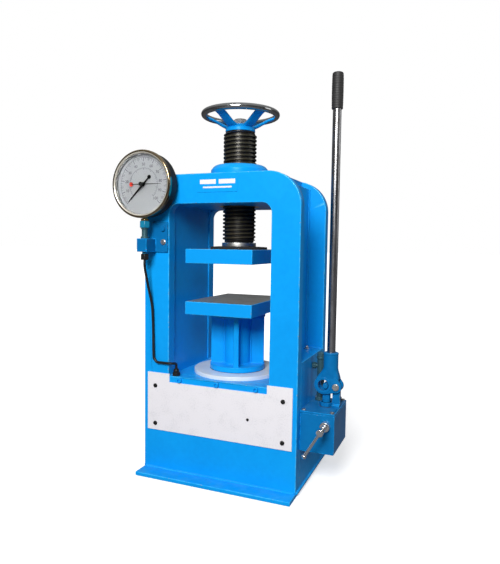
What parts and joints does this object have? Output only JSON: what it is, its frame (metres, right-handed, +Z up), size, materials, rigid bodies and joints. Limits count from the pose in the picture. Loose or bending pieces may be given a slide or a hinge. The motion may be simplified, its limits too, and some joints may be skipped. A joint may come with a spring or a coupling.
{
  "type": "hand-operated hydraulic compression press",
  "caption": "Floor-standing hydraulic press: portal frame, screw-set upper platen with handwheel, ram-lifted lower platen, dial gauge and side lever pump.",
  "frame": {"origin": "screw axis at the underside of the base plate", "axes": "+Z up along the screw axis, -Y the front with the gauge, +X towards the pump and lever"},
  "size_m": [0.678, 0.428, 1.203],
  "materials": {
    "blue_paint": "glossy azure enamel",
    "panel_white": "satin white enamel",
    "ground_steel": "ground",
    "chrome": "polished plate",
    "black_steel": "blackened and oiled",
    "bronze": "machined bronze",
    "brass": "machined",
    "rubber": "matte",
    "grip": "moulded",
    "dial": "white printed face",
    "glass": "clear",
    "red_pointer": "matte red",
    "bolt_steel": "zinc plated",
    "teal_fitting": "enamel",
    "cast_iron": "machined casting"
  },
  "bodies": {
    "frame": {"base_plate": "blue_paint", "front_plate": "blue_paint", "rear_plate": "blue_paint", "left_web": "blue_paint", "right_web": "blue_paint", "left_side_box": "blue_paint", "right_side_box": "blue_paint", "crosshead": "blue_paint", "bolster": "blue_paint", "bolster_bolts": "black_steel", "ram_cylinder": "cast_iron", "gland_ring": "ground_steel", "ram_seals": "rubber", "screw_nut": "bronze", "nut_housing": "blue_paint", "front_panel": "panel_white", "panel_screws": "bolt_steel", "nameplate": "panel_white", "gauge_case": "black_steel", "gauge_bezel": "black_steel", "gauge_glass": "glass", "gauge_dial": "dial", "gauge_movement": "brass", "gauge_stem": "brass", "gauge_fitting": "teal_fitting", "gauge_bracket": "blue_paint", "bracket_bolts": "bolt_steel", "tube_nuts": "black_steel", "pressure_tube": "black_steel", "pump_tank": "blue_paint", "tank_cover": "blue_paint", "cover_bolts": "bolt_steel", "filler_cap": "black_steel", "pump_cylinder": "cast_iron", "delivery_valve": "cast_iron", "gland_nut": "blue_paint", "fulcrum_post": "blue_paint"},
    "head": {"seat_cup": "bolt_steel"},
    "screw": {"screw": "black_steel", "handwheel_hub": "blue_paint", "handwheel_rim": "chrome", "wheel_nut": "bolt_steel"},
    "seat": {"seat_liner": "bronze"},
    "upper_platen": {"seat_dome": "bolt_steel", "platen_stud": "bolt_steel", "upper_platen": "blue_paint"},
    "ram": {"ram": "ground_steel", "spacer": "blue_paint", "lower_platen": "blue_paint"},
    "load_hand": {"load_pointer": "black_steel"},
    "maximum_hand": {"maximum_pointer": "red_pointer", "reset_knob": "rubber"},
    "lever": {"lever_socket": "blue_paint", "lever_tube": "chrome", "lever_grip": "grip", "fulcrum_pin": "bolt_steel"},
    "plunger": {"plunger": "ground_steel", "plunger_pin": "blue_paint"},
    "release_valve": {"release_valve": "chrome"},
    "tommy_bar": {"tommy_bar": "chrome"}
  },
  "joints": [
    {"name": "head_slide", "type": "slide", "parent": "frame", "child": "head", "axis": [0, 0, 1], "range_m": [-0.04, 0.08]},
    {"name": "screw_spin", "type": "hinge", "parent": "head", "child": "screw", "pos_m": [0, 0, 0.722], "axis": [0, 0, 1], "range_deg": [-1205, 2405]},
    {"name": "seat_tilt_x", "type": "hinge", "parent": "head", "child": "seat", "pos_m": [0, 0, 0.658], "axis": [1, 0, 0], "range_deg": [-2.5, 2.5]},
    {"name": "seat_tilt_y", "type": "hinge", "parent": "seat", "child": "upper_platen", "pos_m": [0, 0, 0.658], "axis": [0, 1, 0], "range_deg": [-2.5, 2.5]},
    {"name": "ram_slide", "type": "slide", "parent": "frame", "child": "ram", "axis": [0, 0, 1], "range_m": [0, 0.05]},
    {"name": "load_pointer_turn", "type": "hinge", "parent": "frame", "child": "load_hand", "pos_m": [-0.224, -0.2, 0.89], "axis": [0, 1, 0], "range_deg": [0, 270], "stiffness_Nm_per_rad": 0.002, "springref_deg": -17.19},
    {"name": "maximum_pointer_turn", "type": "hinge", "parent": "frame", "child": "maximum_hand", "pos_m": [-0.224, -0.21, 0.89], "axis": [0, 1, 0], "range_deg": [-225, 45]},
    {"name": "lever_swing", "type": "hinge", "parent": "frame", "child": "lever", "pos_m": [0.337, -0.048, 0.308], "axis": [0, 1, 0], "range_deg": [0, 45]},
    {"name": "plunger_slide", "type": "slide", "parent": "frame", "child": "plunger", "axis": [0, 0, 1], "range_m": [0, 0.03]},
    {"name": "release_turn", "type": "hinge", "parent": "frame", "child": "release_valve", "pos_m": [0.325, -0.185, 0.212], "axis": [0, 1, 0], "range_deg": [-30, 270]},
    {"name": "tommy_slide", "type": "slide", "parent": "release_valve", "child": "tommy_bar", "axis": [0.5105, 0, 0.8599], "range_m": [0, 0.069]}
  ],
  "couplings": [
    {"joint": "screw_spin", "follows": "head_slide", "rad_per_m": 523.6},
    {"joint": "plunger_slide", "follows": "lever_swing", "m_per_rad": 0.036}
  ]
}
